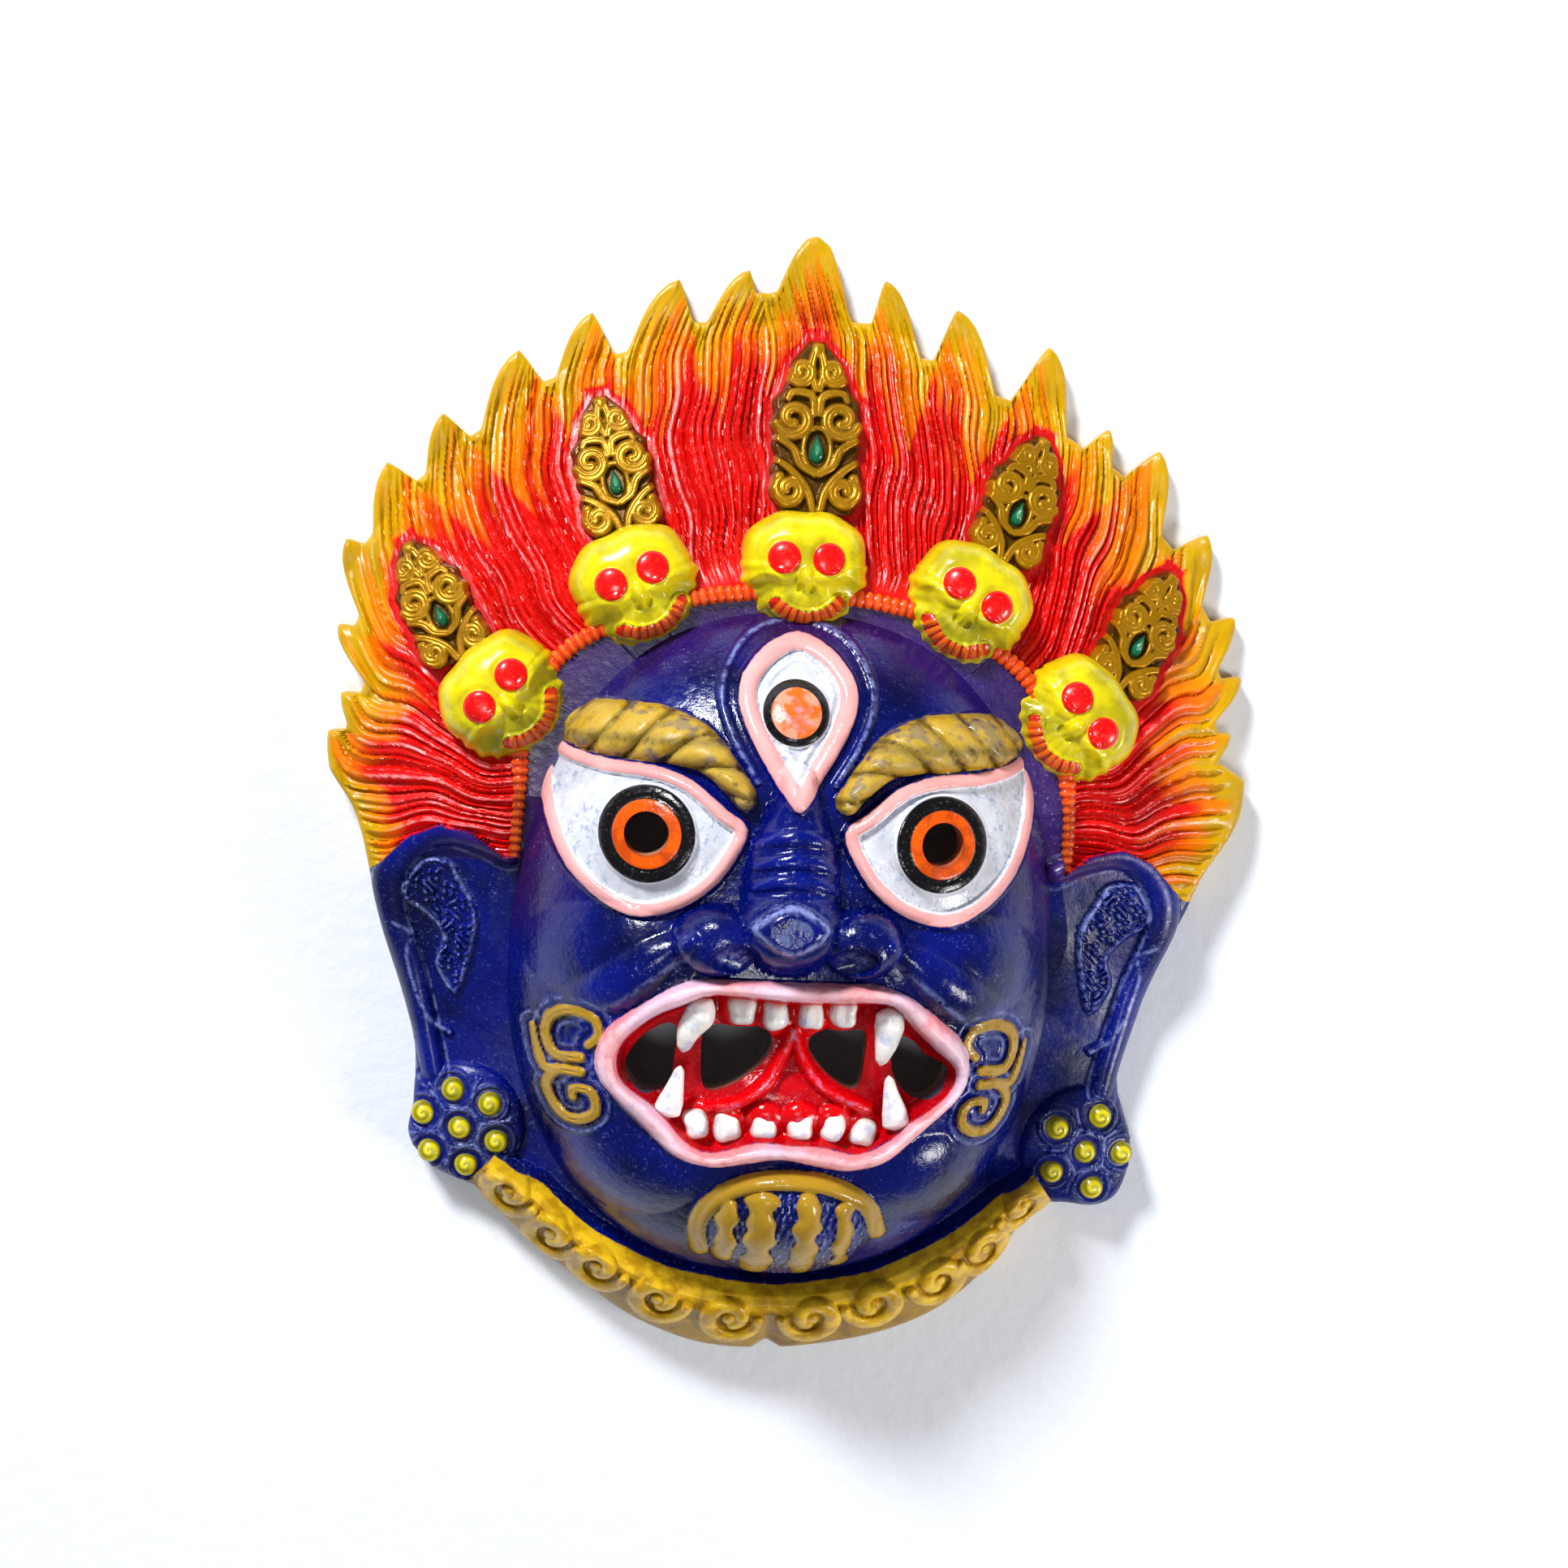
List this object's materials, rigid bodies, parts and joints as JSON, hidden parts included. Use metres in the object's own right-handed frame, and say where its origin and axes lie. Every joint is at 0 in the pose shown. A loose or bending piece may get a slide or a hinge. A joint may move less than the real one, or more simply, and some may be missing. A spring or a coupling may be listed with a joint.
{
  "type": "tibetan cham mask",
  "caption": "Hollow-backed mask of a wrathful protector with bulging eyes, a fanged open mouth, long ears, a skull crown and a halo of flames.",
  "frame": {"origin": "on the flat back rim's plane, under the middle of the mask's overall width and height", "axes": "+Y from the chin to the crown, +Z out of the face, +X towards the viewer's right as the face is seen; the mask lies on its back rim"},
  "size_m": [0.164, 0.2, 0.0519],
  "materials": {
    "painted_resin": "glossy hand paint over cast resin"
  },
  "bodies": {
    "root": {"mask": "painted_resin"}
  },
  "joints": []
}
